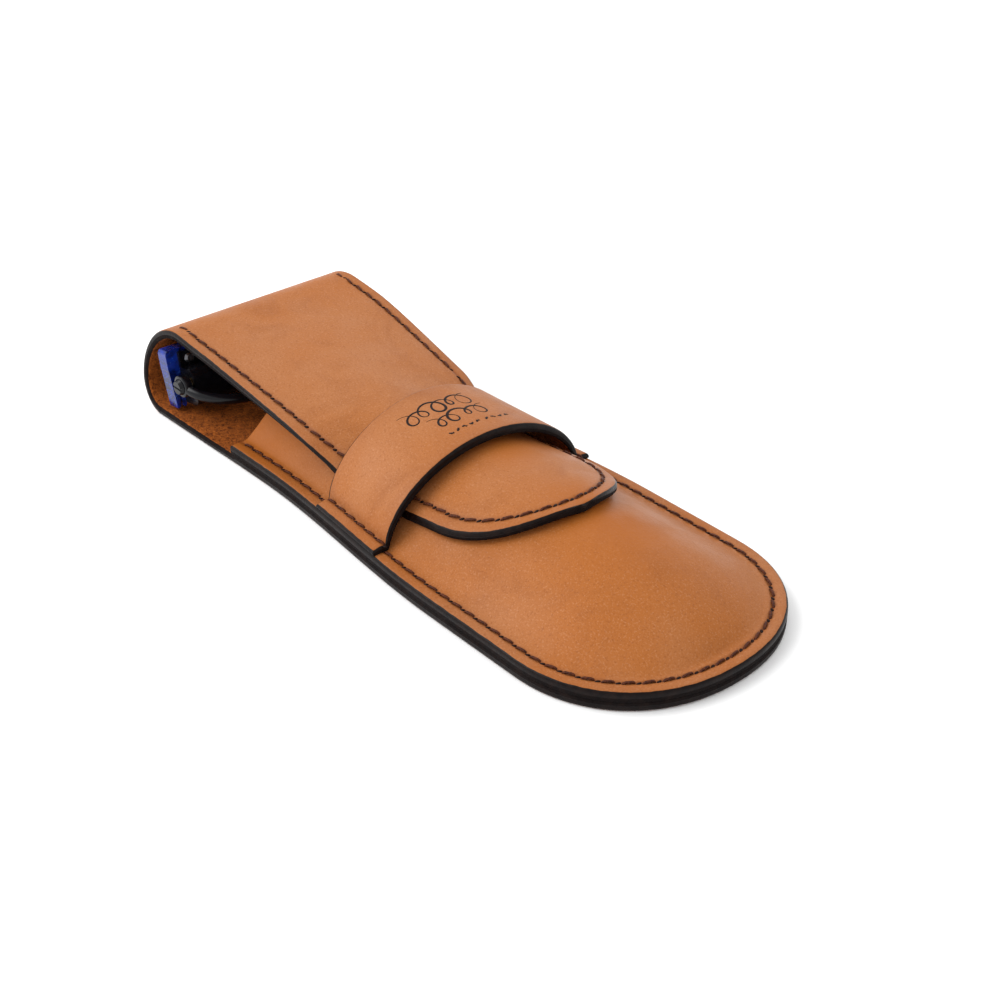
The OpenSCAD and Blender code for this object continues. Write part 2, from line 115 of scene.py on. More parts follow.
def case_half(x, inset=0.0):
    """Half width of the sheath: eased from fold to waist to belly, then a superellipse."""
    x = np.asarray(x, float)
    neck = mix(FOLD_HALF, WAIST_HALF, ease(x / WAIST_X)) - inset
    body = mix(WAIST_HALF, BELLY_HALF, ease((x - WAIST_X) / (BELLY_X - WAIST_X))) - inset
    toe = (BELLY_HALF - inset) * super_q((x - TOE_X) / (CASE_L - inset - TOE_X), TOE_N)
    return np.where(x < WAIST_X, neck, np.where(x < BELLY_X, body, toe))


def rise(x):
    """Rise of the pocket: eased down from its mouth, then falling to nothing at the toe."""
    fall = super_q((x - FALL_X) / (CASE_L - BORDER - 1 - FALL_X), 2.2) ** 1.7
    return mix(RISE_MOUTH, RISE_BODY, ease((x - MOUTH_X) / 36)) * fall


def dome(x, y):
    """Top of the front panel: the rise times (1 - u squared) to a power across it."""
    u = np.minimum(1, np.abs(y) / np.maximum(0.01, case_half(x, BORDER)))
    return SEWN_T + rise(x) * (1 - u * u) ** FULLNESS


def fold_at(turn, depth=0.0):
    """Point x, z of the fold at a turn and a depth into the hide: two arcs, end to end."""
    turn = np.asarray(turn, float)
    low = turn < math.pi / 2
    r = np.where(low, LOW_R, UP_R) - depth
    return np.where(low, LOW_R, UP_R) - r * np.sin(turn), LOW_R - r * np.cos(turn)


def fold_half_at(z):
    """Half width of the hide where it turns over: a straight taper with height."""
    return mix(FOLD_HALF, FLAP_HALF, np.asarray(z) / FOLD_TOP)


def flap_half(x, inset=0.0):
    """Half width of the flap and tongue, drawn in at the keeper, with an elliptic tip."""
    x = np.asarray(x, float)
    run = mix(FLAP_HALF, FLAP_HALF - 2.2, ease((x - 18) / 50))
    run = mix(run, TONGUE_HALF, ease((x - 58) / 13)) - inset
    tip = (TONGUE_HALF - inset) * super_q((x - TIP_X) / (TONGUE_TIP - inset - TIP_X), TIP_N)
    return np.where(x < TIP_X, run, tip)


def lean(x):
    """Sideways lean of the tongue toward its tip."""
    return LEAN * ease((x - 60) / 50)


def flap_top(x, y):
    """Top of the flap: the upper envelope of a sloping sheet that sinks at its sides and of the
    hide laid on the pocket, rounded where the two meet."""
    v = (y - lean(x)) / np.maximum(1, flap_half(x))
    sag = 5 * (np.maximum(0, x - 25.4) / 45) ** 1.3 + 2 * ease((x - 58) / 13)
    free = FLAP_Z0 - (x - FLAP_X0) * math.tan(FLAP_SLOPE) - sag * v * v
    free = np.where(x < FLAP_X0, LOW_R + np.sqrt(np.maximum(0, UP_R ** 2 - (x - UP_R) ** 2)), free)
    rest = dome(x, y) + GAP + HIDE_T + 0.9 * v * v * ease((x - 88) / 15)
    return (free + rest + np.sqrt((free - rest) ** 2 + 0.49)) / 2


def keeper_faces(x, y):
    """Outer and inner height of the keeper: (1 - u squared) to the power 0.6 over flat feet."""
    crown = KEEPER_TOP - 0.036 * (x - KEEPER_X0)
    u = np.minimum(1, np.abs(y) / (case_half(x) - FOOT_W))
    foot = SEWN_T + FOOT_T
    outer = foot + (crown - foot) * (1 - u * u) ** 0.6
    u = np.minimum(1, np.abs(y) / (case_half(x) - FOOT_W - 0.8))
    inner = SEWN_T + (crown - HIDE_T - SEWN_T) * (1 - u * u) ** 0.6
    return outer, np.maximum(inner, dome(x, y) + np.where(u < 1, 0.05, 0))


# ---------------------------------------------------------------- mesh building

def make_object(name, points, faces, marks=None, merge=True):
    """Mesh object from points in millimetres and a face array; marks are point attributes."""
    mesh = bpy.data.meshes.new(name)
    pts = np.asarray(points, float).reshape(-1, 3).copy()
    pts[:, 0] += SHIFT
    faces = faces.tolist() if isinstance(faces, np.ndarray) else faces
    mesh.from_pydata((pts * MM).tolist(), [], faces)
    for key, values in (marks or {}).items():
        layer = mesh.attributes.new(key, "FLOAT", "POINT")
        layer.data.foreach_set("value", np.asarray(values, np.float32).ravel())
    if merge:
        bm = bmesh.new()
        bm.from_mesh(mesh)
        bmesh.ops.remove_doubles(bm, verts=bm.verts, dist=2e-7)
        bmesh.ops.dissolve_degenerate(bm, edges=bm.edges, dist=1e-8)
        bmesh.ops.recalc_face_normals(bm, faces=bm.faces)
        bm.to_mesh(mesh)
        bm.free()
    mesh.polygons.foreach_set("use_smooth", [True] * len(mesh.polygons))
    obj = bpy.data.objects.new(name, mesh)
    bpy.context.scene.collection.objects.link(obj)
    return obj


def closed_sheet(name, top, bottom, marks_top, marks_bottom, folded=False):
    """Closed sheet between two grids of points of one size, joined round their border.

    A grid whose last column is a middle line that it runs along twice is not joined there."""
    rows, cols = top.shape[:2]
    n = rows * cols
    ids = np.arange(n).reshape(rows, cols)

    def quads(a, b, c, d):
        return np.stack([a.ravel(), b.ravel(), c.ravel(), d.ravel()], 1)

    faces = [quads(ids[:-1, :-1], ids[1:, :-1], ids[1:, 1:], ids[:-1, 1:]),
             quads(ids[:-1, :-1], ids[:-1, 1:], ids[1:, 1:], ids[1:, :-1]) + n]
    border = [(ids[:-1, 0], ids[1:, 0]), (ids[0, 1:], ids[0, :-1]), (ids[-1, :-1], ids[-1, 1:])]
    if not folded:
        border.append((ids[1:, -1], ids[:-1, -1]))
    for a, b in border:
        faces.append(quads(a, a + n, b + n, b))
    marks = {k: np.concatenate([marks_top[k].ravel(), marks_bottom[k].ravel()]) for k in marks_top}
    points = np.concatenate([top.reshape(-1, 3), bottom.reshape(-1, 3)])
    obj = make_object(name, points, np.concatenate(faces), marks)
    sharpen(obj, 1.1)
    return obj


EDGE_R = 0.75
# distances from the cut edge at which the border has a line of points
INSETS = np.array([0, 0.06, 0.16, 0.32, 0.52, 0.78, 1.2, 1.8, 2.3, 2.55, 2.75, 2.92, 3.1,
                   3.28, 3.45, 3.65, 3.9, 4.4, 5.2, 6.2, 7.4, 8.8])
INNER = np.sin(np.linspace(1, 0, 16) * math.pi / 2)


def edge_drop(d, r=EDGE_R):
    """How far a rounded edge lies below the face at a distance d in from the cut."""
    return r - np.sqrt(np.maximum(0, r * r - np.maximum(0, r - d) ** 2))


def crease(d, inset, depth=FLAP_GROOVE, width=GROOVE_W):
    """Groove that the thread is pulled into: a bell curve about the stitch line."""
    return depth * np.exp(-((d - inset) / width) ** 2)


def rubbed(d):
    """How much handling has darkened the hide, falling away from its edge."""
    return np.exp(-d / RUB_W)


def u_grid(half, rows_x, toe_x, toe_len, toe_half, n, toe_rows=26):
    """Grid of lines parallel to a U-shaped outline, from one side round the toe to the other.

    A row runs from the cut edge to the middle line.  Columns are at fixed distances in from the
    edge, then at fixed shares of what is left.  Returns x, y and the distance in."""
    d = np.concatenate([INSETS, np.full(len(INNER) - 1, INSETS[-1])])
    g = np.concatenate([np.ones(len(INSETS)), INNER[1:]])
    x_body = np.repeat(rows_x[:, None], len(d), 1)
    y_body = (half(rows_x)[:, None] - d) * g
    a = np.linspace(0, math.pi / 2, toe_rows)[1:, None]
    x_toe = toe_x + (toe_len - d) * g * np.sin(a) ** (2 / n)
    y_toe = (toe_half - d) * g * np.maximum(0, np.cos(a)) ** (2 / n)
    y_toe[-1] = 0
    x = np.concatenate([x_body, x_toe, x_toe[-2::-1], x_body[::-1]])
    y = np.concatenate([-y_body, -y_toe, y_toe[-2::-1], y_body[::-1]])
    dist = np.where(g < 1, INSETS[-1] + (1 - g) * 15, d)
    return x, y, np.broadcast_to(dist, x.shape)


def stack(x, y, z):
    """Grid of points from three arrays of one shape."""
    return np.stack(np.broadcast_arrays(x, y, z), -1).astype(float)


def full(x, value):
    """Array like x that holds one value."""
    return np.full(np.shape(x), float(value))


def end_rows(x0, x1, step, round0=True, round1=False):
    """Stations from x0 to x1 with close ones at an end that is rounded."""
    n = max(2, int((x1 - x0) / step))
    xs = list(np.linspace(x0, x1, n))
    close = INSETS[1:6]
    if round0:
        xs = [x0] + [x0 + c for c in close] + [v for v in xs if v > x0 + 1.0]
    if round1:
        xs = [v for v in xs if v < x1 - 1.0] + [x1 - c for c in close[::-1]] + [x1]
    return np.array(xs)


# ---------------------------------------------------------------- leather pieces

def case_grid(rows):
    """Grid that follows the sheath's outline round its toe."""
    return u_grid(case_half, rows, TOE_X, CASE_L - TOE_X, BELLY_HALF, TOE_N)


def painted_shade(x, y):
    """How strongly painted shade lies on the hide, as a deeper orange: under the flap, and in two
    soft round patches, one on the tongue just past the keeper and one about the tongue's tip.
    """
    covered = 0.9 * (1 - ease((x - 40) / 34))
    front = np.exp(-(((x - 126) / 13) ** 2 + ((y - 5) / 11) ** 2))
    tongue_mid = 0.7 * np.exp(-(((x - 95) / 9) ** 2 + ((y - 4) / 7) ** 2))
    return np.clip(covered + front + tongue_mid, 0, 1)


def front_panel():
    """Wet-formed pocket: the dome over a flat sewn border, its mouth cut square."""
    x, y, dist = case_grid(end_rows(MOUTH_X, TOE_X, 1.5))
    z = dome(x, y)
    mouth = x - MOUTH_X
    drop = np.maximum(edge_drop(dist), edge_drop(mouth, 0.5))
    wave = 0.05 * np.sin(x * 0.31 + y * 0.2) * (dist > 8)
    top = stack(x, y, z - drop - crease(dist, SEAM_INSET) + wave)
    bottom = stack(x, y, z - HIDE_T + edge_drop(dist, 0.12) + edge_drop(mouth, 0.5))
    paint = np.maximum(1 - dist / PAINT_W, 1 - mouth / 0.3)
    zero = full(x, 0)
    return closed_sheet("front_panel_leather", top, bottom,
                        {"paint": paint, "flesh": zero, "groove": crease(dist, SEAM_INSET, 1),
                         "rub": rubbed(dist), "painted_shade": painted_shade(x, y)},
                        {"paint": paint, "flesh": full(x, 1), "groove": zero, "rub": zero,
                         "painted_shade": zero},
                        folded=True)


BACK_CUT = SEG             # turn at which the back's surface ends and the fold's begins


def back_panel():
    """Back of the hide with the first part of the fold: flat, then up the lower arc.

    Along the hide the station s is x where it is flat; below the lower arc's centre the turn
    is the arc length over the radius."""
    s_cut = LOW_R - LOW_R * BACK_CUT
    rows = np.concatenate([np.linspace(s_cut, LOW_R, 12)[:-1], np.linspace(LOW_R, TOE_X, 90)])
    s, y, dist = u_grid(
        lambda v: np.where(v < LOW_R, fold_half_at(fold_at(np.maximum(0, (LOW_R - v) / LOW_R))[1]),
                           case_half(v)),
        rows, TOE_X, CASE_L - TOE_X, BELLY_HALF, TOE_N)
    turn = np.maximum(0, (LOW_R - s) / LOW_R)

    def at(depth):
        fx, fz = fold_at(turn, depth)
        flat = s >= LOW_R
        return stack(np.where(flat, s, fx), y, np.where(flat, depth, fz))

    sewn = s > MOUTH_X
    under = edge_drop(dist) + np.where(sewn, crease(dist, SEAM_INSET, 0.5, 0.55), 0)
    over = np.where(sewn, edge_drop(dist, 0.12), edge_drop(dist))
    paint = 1 - dist / PAINT_W
    zero = full(s, 0)
    groove = np.where(sewn, crease(dist, SEAM_INSET, 1), 0)
    return closed_sheet("back_panel_leather", at(HIDE_T - over), at(under),
                        {"paint": paint, "flesh": full(s, 1), "groove": zero, "rub": zero},
                        {"paint": paint, "flesh": zero, "groove": groove, "rub": rubbed(dist)},
                        folded=True)


def side_columns():
    """Columns across a strip: distance in from the nearer edge, the side and the share."""
    d = np.concatenate([INSETS, np.full(len(INNER) - 1, INSETS[-1])])
    g = np.concatenate([np.ones(len(INSETS)), INNER[1:]])
    dist = np.where(g < 1, INSETS[-1] + (1 - g) * 15, d)
    side = np.concatenate([-np.ones(len(d)), np.ones(len(d) - 1)])
    return (np.concatenate([d, d[-2::-1]]), np.concatenate([g, g[-2::-1]]), side,
            np.concatenate([dist, dist[-2::-1]]))


def strip(name, turns, xs=()):
    """Part of the hide over the fold, between two turns, and on along the flap.

    Rows go by the turn on the two arcs and then by x along the flap.  The grain side is outside."""
    d, g, side, dist = side_columns()
    half = fold_half_at(fold_at(turns)[1])[:, None]
    y = side * (half - d) * g
    drop = edge_drop(dist)[None]
    ox, oz = fold_at(turns[:, None], drop)
    ix, iz = fold_at(turns[:, None], HIDE_T - drop)
    outer, inner = stack(ox, y, oz), stack(ix, y, iz)
    near_stitch = full(y, 0)
    if len(xs):
        xs = np.asarray(xs)[:, None]
        y2 = side * (flap_half(xs) - d) * g
        z = flap_top(xs, y2)
        groove = crease(dist[None], FLAP_INSET, 1) * ease((xs - FLAP_X0) / 3)
        outer = np.concatenate([outer, stack(xs, y2, z - drop - FLAP_GROOVE * groove)])
        inner = np.concatenate([inner, under_face(xs, y2, z, drop, dist[None])])
        near_stitch = np.concatenate([near_stitch, groove])
    shape = outer.shape[:2]
    paint = np.broadcast_to(1 - dist / PAINT_W, shape)
    rub = np.broadcast_to(rubbed(dist), shape)
    zero = np.zeros(shape)
    return closed_sheet(name, outer, inner,
                        {"paint": paint, "flesh": zero, "groove": near_stitch, "rub": rub},
                        {"paint": paint, "flesh": zero + 1, "groove": zero, "rub": zero})


def under_face(x, y, z, drop, dist):
    """Lower face of the flap: straight below, but square to the slope near its free edges."""
    slope = (flap_top(x, y + 0.3) - flap_top(x, y - 0.3)) / 0.6
    near_edge = np.exp(-(dist / 3.0) ** 2) * (1 - ease((x - 60) / 12))
    tip = slope / np.sqrt(1 + slope * slope) * near_edge
    return stack(x, y + HIDE_T * tip, z - (HIDE_T - drop) * np.sqrt(1 - tip * tip))


def tongue():
    """Tongue of the flap: laid over the pocket and rounded at its tip."""
    x, y, dist = u_grid(flap_half, np.linspace(CUT_X, TIP_X, 32), TIP_X,
                        TONGUE_TIP - TIP_X, TONGUE_HALF, TIP_N)
    y = y + lean(x)
    z = flap_top(x, y)
    groove = crease(dist, FLAP_INSET, 1)
    paint = 1 - dist / PAINT_W
    zero = full(x, 0)
    drop = edge_drop(dist)
    return closed_sheet("tongue_leather", stack(x, y, z - drop - FLAP_GROOVE * groove),
                        under_face(x, y, z, drop, dist),
                        {"paint": paint, "flesh": zero, "groove": groove, "rub": rubbed(dist),
                         "painted_shade": painted_shade(x, y) * ease((x - 72) / 8)},
                        {"paint": paint, "flesh": zero + 1, "groove": zero, "rub": zero,
                         "painted_shade": zero},
                        folded=True)


def keeper():
    """Keeper strap: an arch over the tongue with pared feet on the border."""
    d = INSETS[INSETS < 5]
    inner_y = np.linspace(1, -1, 61)[1:-1]
    xs = end_rows(KEEPER_X0, KEEPER_X1, 1.2, True, True)[:, None]
    half = case_half(xs)
    y = np.concatenate([-(half - d), -(half - d[-1]) * inner_y, (half - d[::-1])], 1)
    dist_y = half - np.abs(y)
    dist_x = np.minimum(xs - KEEPER_X0, KEEPER_X1 - xs) + 0 * y
    outer, inner = keeper_faces(xs, y)
    pared = 0.5 * np.maximum(0, 1 - dist_y / 2.6) ** 1.3
    drop = np.maximum(edge_drop(dist_x), edge_drop(dist_y, 0.5)) + pared
    groove = crease(dist_y, SEAM_INSET, 1)
    paint = np.maximum(1 - dist_x / 0.5, 1 - dist_y / PAINT_W)
    zero = full(y, 0)
    rub = rubbed(np.minimum(dist_x, dist_y))
    return closed_sheet("keeper_leather", stack(xs, y, outer - drop - 0.2 * groove),
                        stack(xs, y, inner + np.where(dist_y < 4, 0.02, edge_drop(dist_x, 0.5))),
                        {"paint": paint, "flesh": zero, "groove": groove, "rub": rub},
                        {"paint": paint, "flesh": zero + 1, "groove": zero, "rub": zero})


# ---------------------------------------------------------------- thread

def along(points, pitch, start=0.0):
    """Places at an even pitch along a line of points, with the unit direction at each."""
    step = np.linalg.norm(np.diff(points, axis=0), axis=1)
    s = np.concatenate([[0], np.cumsum(step)])
    at = np.arange(start + pitch / 2, s[-1] - pitch / 2, pitch)
    place = np.stack([np.interp(at, s, points[:, k]) for k in range(3)], 1)
    ahead = np.stack([np.interp(at + 0.4, s, points[:, k]) for k in range(3)], 1)
    tangent = ahead - place
    return place, tangent / np.linalg.norm(tangent, axis=1, keepdims=True)


def stitches(name, place, tangent, normal, length, slant=0.2, radius=0.29, lift=0.08):
    """Row of two-ply stitches.

    Each is a tube along a line that arches up by 1 - u to the fourth and dips into its holes.
    Its radius swells and shrinks round the tube as the cosine of twice the angle plus a twist."""
    across = np.cross(normal, tangent)
    run = tangent * math.cos(slant) + across * math.sin(slant)
    side = np.cross(normal, run)
    u = np.array([-1, -0.8, -0.4, 0, 0.4, 0.8, 1])
    k = np.arange(6) * 2 * math.pi / 6
    high = lift + 0.2 * (1 - u ** 4) - 0.4 * np.abs(u) ** 8
    r = radius * (1 - 0.45 * u ** 6)[:, None] * (1 + 0.16 * np.cos(2 * k[None] + 7 * u[:, None]))
    centre = (place[:, None] + run[:, None] * (u * length / 2)[None, :, None]
              + normal[:, None] * high[None, :, None])
    ring = (side[:, None, None] * (r * np.cos(k))[None, ..., None]
            + normal[:, None, None] * (r * np.sin(k))[None, ..., None] * 0.8)
    pts = centre[:, :, None] + ring
    count, nu, nk = pts.shape[:3]
    ids = np.arange(count * nu * nk).reshape(count, nu, nk)
    nxt = np.roll(ids, -1, 2)
    quads = np.stack([ids[:, :-1], ids[:, 1:], nxt[:, 1:], nxt[:, :-1]], -1).reshape(-1, 4)
    caps = np.concatenate([ids[:, 0], ids[:, -1, ::-1]]).tolist()
    obj = make_object(name, pts.reshape(-1, 3), quads.tolist() + caps, merge=False)
    fix_normals(obj)
    return obj


def awl_holes(name, place, tangent, normal, pitch):
    """Pricked holes: low lozenges set in the groove between the stitches, near black as painted
    shade in the holes.
    """
    across = np.cross(normal, tangent)
    run = tangent * math.cos(0.75) + across * math.sin(0.75)
    side = np.cross(normal, run)
    at = place + tangent * pitch / 2
    k = np.arange(10) * 2 * math.pi / 10
    rim = (at[:, None] + run[:, None] * (0.66 * np.cos(k))[None, :, None]
           + side[:, None] * (0.36 * np.sin(k))[None, :, None] - normal[:, None] * 0.04)
    count = len(at)
    top = at[:, None] + normal[:, None] * 0.17
    low = at[:, None] - normal[:, None] * 0.3
    pts = np.concatenate([rim, top, low], 1)
    ids = np.arange(count)[:, None] * 12
    a, b = ids + np.arange(10), ids + (np.arange(10) + 1) % 10
    tri = np.concatenate([np.stack([a, b, ids + 10 + 0 * a], -1).reshape(-1, 3),
                          np.stack([b, a, ids + 11 + 0 * a], -1).reshape(-1, 3)])
    obj = make_object(name, pts.reshape(-1, 3), tri, merge=False)
    fix_normals(obj)
    return obj


def fix_normals(obj):
    """Turn every face of closed pieces outwards."""
    bm = bmesh.new()
    bm.from_mesh(obj.data)
    bmesh.ops.recalc_face_normals(bm, faces=bm.faces)
    bm.to_mesh(obj.data)
    bm.free()


def seam_line(inset):
    """Line of the seam at its inset, from the pocket's mouth round the toe and back."""
    xs = np.linspace(MOUTH_X + 1.2, TOE_X, 120)
    a = np.linspace(0, math.pi / 2, 60)[1:]
    x = np.concatenate([xs, TOE_X + (CASE_L - inset - TOE_X) * np.sin(a) ** (2 / TOE_N)])
    y = np.concatenate([case_half(xs, inset),
                        (BELLY_HALF - inset) * np.maximum(0, np.cos(a)) ** (2 / TOE_N)])
    return np.concatenate([x, x[-2::-1]]), np.concatenate([-y, y[-2::-1]])


def flap_line(inset, x_from, x_to):
    """Line of the flap's stitches on its near side, from one station to another."""
    xs = np.linspace(x_from, x_to, 80)
    return xs, flap_half(xs, inset)


def tip_line(inset):
    """Line of the tongue's stitches from the cut round its tip and back."""
    xs = np.linspace(CUT_X, TIP_X, 60)
    a = np.linspace(0, math.pi / 2, 50)[1:]
    x = np.concatenate([xs, TIP_X + (TONGUE_TIP - inset - TIP_X) * np.sin(a) ** (2 / TIP_N)])
    y = np.concatenate([flap_half(xs, inset),
                        (TONGUE_HALF - inset) * np.maximum(0, np.cos(a)) ** (2 / TIP_N)])
    x = np.concatenate([x, x[-2::-1]])
    return x, np.concatenate([-y, y[-2::-1]]) + lean(x)


def surface_normals(height, x, y, up=1.0):
    """Unit normals of a height surface from its slopes."""
    e = 0.3
    gx = (height(x + e, y) - height(x - e, y)) / (2 * e)
    gy = (height(x, y + e) - height(x, y - e)) / (2 * e)
    n = np.stack([-gx, -gy, np.ones_like(gx)], 1) * up
    return n / np.linalg.norm(n, axis=1, keepdims=True)


def sewn_row(name, x, y, height, pitch, up=1.0, depth=0.0, side=1.0, length=2.75):
    """Stitches and awl holes along a line on a height surface, on its upper or lower face."""
    line = np.stack([x, y, height(x, y)], 1)
    place, tangent = along(line, pitch)
    normal = surface_normals(height, place[:, 0], place[:, 1], up)
    place = place.copy()
    place[:, 2] = height(place[:, 0], place[:, 1])
    tangent -= normal * np.sum(tangent * normal, axis=1, keepdims=True)
    tangent /= np.linalg.norm(tangent, axis=1, keepdims=True)
    place = place - normal * depth
    thread = stitches(name, place, tangent, normal, length * pitch / 3.7, slant=0.16 * side)
    holes = awl_holes(name + "_holes", place, tangent, normal, pitch)
    return thread, holes


def border_height(x, y):
    """Face that the seam lies on: the keeper's foot where it crosses, else the border."""
    on = (x > KEEPER_X0 + 0.2) & (x < KEEPER_X1 - 0.2)
    return np.where(on, SEWN_T + FOOT_T, SEWN_T)


# ---------------------------------------------------------------- turned and bent pieces

def turned(name, stations, bore=0.0, ring=64):
    """Surface of revolution on the handle's axis from [x, radius] stations, closed at its ends."""
    st = np.asarray(stations, float)
    fine = [st[0]]
    for a, b in zip(st[:-1], st[1:]):
        steps = max(1, int(np.linalg.norm(b - a) / 0.9))
        fine += [a + (b - a) * (i + 1) / steps for i in range(steps)]
    prof = np.array([[st[0][0], bore], *fine, [st[-1][0], bore]])
    k = np.arange(ring) * 2 * math.pi / ring
    pts = np.stack([np.repeat(prof[:, :1], ring, 1), PIVOT[1] + prof[:, 1:] * np.cos(k),
                    HANDLE_Z + prof[:, 1:] * np.sin(k)], -1)
    ids = np.arange(pts.shape[0] * ring).reshape(-1, ring)
    a, b = (ids, np.roll(ids, -1, 0)) if bore > 0 else (ids[:-1], ids[1:])
    quads = np.stack([a, b, np.roll(b, -1, 1), np.roll(a, -1, 1)], -1).reshape(-1, 4)
    obj = make_object(name, pts.reshape(-1, 3), quads)
    sharpen(obj)
    return obj


def sharpen(obj, angle=0.7):
    """Keep edges sharper than an angle crisp under smooth shading."""
    bm = bmesh.new()
    bm.from_mesh(obj.data)
    for e in bm.edges:
        if len(e.link_faces) == 2 and e.calc_face_angle(0) > angle:
            e.smooth = False
    bm.to_mesh(obj.data)
    bm.free()


def bail():
    """Bail: a round bar bowed from eye to eye as powers of sine and cosine, with flat eyes."""
    a = np.radians(np.linspace(8, 172, 121))
    c = np.cos(a)
    centre = np.stack([PIVOT[0] + (HANDLE_X0 - 1 - PIVOT[0]) * np.sin(a) ** 0.9,
                       PIVOT[1] + EYE_Y * np.sign(c) * np.abs(c) ** 0.65,
                       mix(PIVOT[2], HANDLE_Z, np.sin(a))], 1)
    t = np.gradient(centre, axis=0)
    t /= np.linalg.norm(t, axis=1, keepdims=True)
    s = np.cross(t, [0, 0, 1.0])
    s /= np.linalg.norm(s, axis=1, keepdims=True)
    n = np.cross(s, t)
    k = np.arange(28) * 2 * math.pi / 28
    r = BAIL_D / 2
    pts = centre[:, None] + r * (s[:, None] * np.cos(k)[None, :, None]
                                 + n[:, None] * np.sin(k)[None, :, None])
    ids = np.arange(121 * 28).reshape(121, 28)
    nxt = np.roll(ids, -1, 1)
    faces = np.stack([ids[:-1], ids[1:], nxt[1:], nxt[:-1]], -1).reshape(-1, 4).tolist()
    faces += [ids[0].tolist(), ids[-1, ::-1].tolist()]
    points = [pts.reshape(-1, 3)]
    # rounded eye discs: a profile turned about the pivot's axis, with the running bore
    prof = np.array([[-1.0, 1.08], [-1.0, 2.3], [-0.92, 2.5], [-0.7, 2.6], [0.7, 2.6],
                     [0.92, 2.5], [1.0, 2.3], [1.0, 1.08]])
    m = np.arange(48) * 2 * math.pi / 48
    for sgn in (-1, 1):
        base = sum(len(p) for p in points)
        eye = np.stack([PIVOT[0] + prof[:, 1:] * np.cos(m),
                        PIVOT[1] + sgn * EYE_Y + prof[:, :1] + 0 * m,
                        PIVOT[2] + prof[:, 1:] * np.sin(m)], -1)
        e = base + np.arange(len(prof) * 48).reshape(-1, 48)
        f = np.roll(e, -1, 0)
        faces += np.stack([e, f, np.roll(f, -1, 1), np.roll(e, -1, 1)], -1).reshape(-1, 4).tolist()
        points.append(eye.reshape(-1, 3))
    obj = make_object("bail_bar", np.concatenate(points), faces)
    sharpen(obj)
    return obj


def engraved_line(name, path, width=0.8, depth=0.06):
    """Burnt line on the keeper: a low ribbon with a rounded back that follows the strap.

    Its half width swells with the sine of the way along it, as a pen stroke does."""
    p = np.asarray(path, float)
    t = np.gradient(p, axis=0)
    t /= np.linalg.norm(t, axis=1, keepdims=True)
    side = np.stack([-t[:, 1], t[:, 0]], 1)
    w = width * (0.45 + 0.75 * np.abs(np.sin(np.linspace(0, 3.2 * math.pi, len(p)))))
    w *= np.sin(np.linspace(0.12, math.pi - 0.12, len(p))) ** 0.4
    prof = np.array([[-1, -0.12], [-0.6, 0.02], [0, depth], [0.6, 0.02], [1, -0.12], [0, -0.3]])
    xy = p[:, None] + side[:, None] * (w[:, None, None] * prof[None, :, :1]) / 2
    z = keeper_faces(xy[..., 0], xy[..., 1])[0] + prof[None, :, 1]
    pts = np.concatenate([xy, z[..., None]], -1)
    n, m = pts.shape[:2]
    ids = np.arange(n * m).reshape(n, m)
    nxt = np.roll(ids, -1, 1)
    faces = np.stack([ids[:-1], ids[1:], nxt[1:], nxt[:-1]], -1).reshape(-1, 4).tolist()
    faces += [ids[0].tolist(), ids[-1, ::-1].tolist()]
    obj = make_object(name, pts.reshape(-1, 3), faces, merge=False)
    fix_normals(obj)
    return obj


# ---------------------------------------------------------------- finishes

class Nodes:
    """Short-hand for building a node tree."""

    def __init__(self, tree):
        self.tree = tree

    def add(self, kind, **values):
        """New node with its properties and input values set."""
        node = self.tree.nodes.new(kind)
        for key, value in values.items():
            if key in node.inputs:
                node.inputs[key].default_value = value
            else:
                setattr(node, key, value)
        return node

    def link(self, a, b):
        """Join an output socket to an input socket."""
        self.tree.links.new(a, b)

    def noise(self, coord, scale, detail=2.0, rough=0.5, distortion=0.0):
        """Noise value at a scale in turns per metre."""
        n = self.add("ShaderNodeTexNoise", Scale=scale, Detail=detail, Roughness=rough,
                     Distortion=distortion)
        self.link(coord, n.inputs["Vector"])
        return n.outputs["Fac"]

    def ramp(self, value, lo, hi, a=0.0, b=1.0):
        """Map a value from one range to another, smoothly and held at both ends."""
        n = self.add("ShaderNodeMapRange", interpolation_type="SMOOTHSTEP")
        n.inputs["From Min"].default_value = lo
        n.inputs["From Max"].default_value = hi
        n.inputs["To Min"].default_value = a
        n.inputs["To Max"].default_value = b
        self.link(value, n.inputs["Value"])
        return n.outputs["Result"]

    def blend(self, factor, a, b):
        """Mix of two colours, or of two sockets that hold colours."""
        n = self.add("ShaderNodeMix", data_type="RGBA")
        for value, sock in ((factor, n.inputs[0]), (a, n.inputs[6]), (b, n.inputs[7])):
            if isinstance(value, bpy.types.NodeSocket):
                self.link(value, sock)
            else:
                sock.default_value = value
        return n.outputs[2]

    def math(self, op, a, b=0.0):
        """One arithmetic step on numbers or sockets."""
        n = self.add("ShaderNodeMath", operation=op)
        for value, sock in ((a, n.inputs[0]), (b, n.inputs[1])):
            if isinstance(value, bpy.types.NodeSocket):
                self.link(value, sock)
            else:
                sock.default_value = value
        return n.outputs[0]

    def mark(self, name):
        """Value of a point attribute."""
        return self.add("ShaderNodeAttribute", attribute_name=name).outputs["Fac"]


def new_material(name, **values):
    """Material with a principled shader whose plain values are set on its own sockets."""
    mat = bpy.data.materials.new(name)
    mat.use_nodes = True
    nt = mat.node_tree
    shader = nt.nodes["Principled BSDF"]
    for key, value in values.items():
        shader.inputs[key].default_value = value
    n = Nodes(nt)
    coord = n.add("ShaderNodeTexCoord").outputs["Object"]
    return mat, n, shader, coord


def bump(n, shader, height, distance, strength=1.0):
    """Bump node that feeds the shader's normal."""
    b = n.add("ShaderNodeBump", Strength=strength, Distance=distance)
    n.link(height, b.inputs["Height"])
    n.link(b.outputs["Normal"], shader.inputs["Normal"])


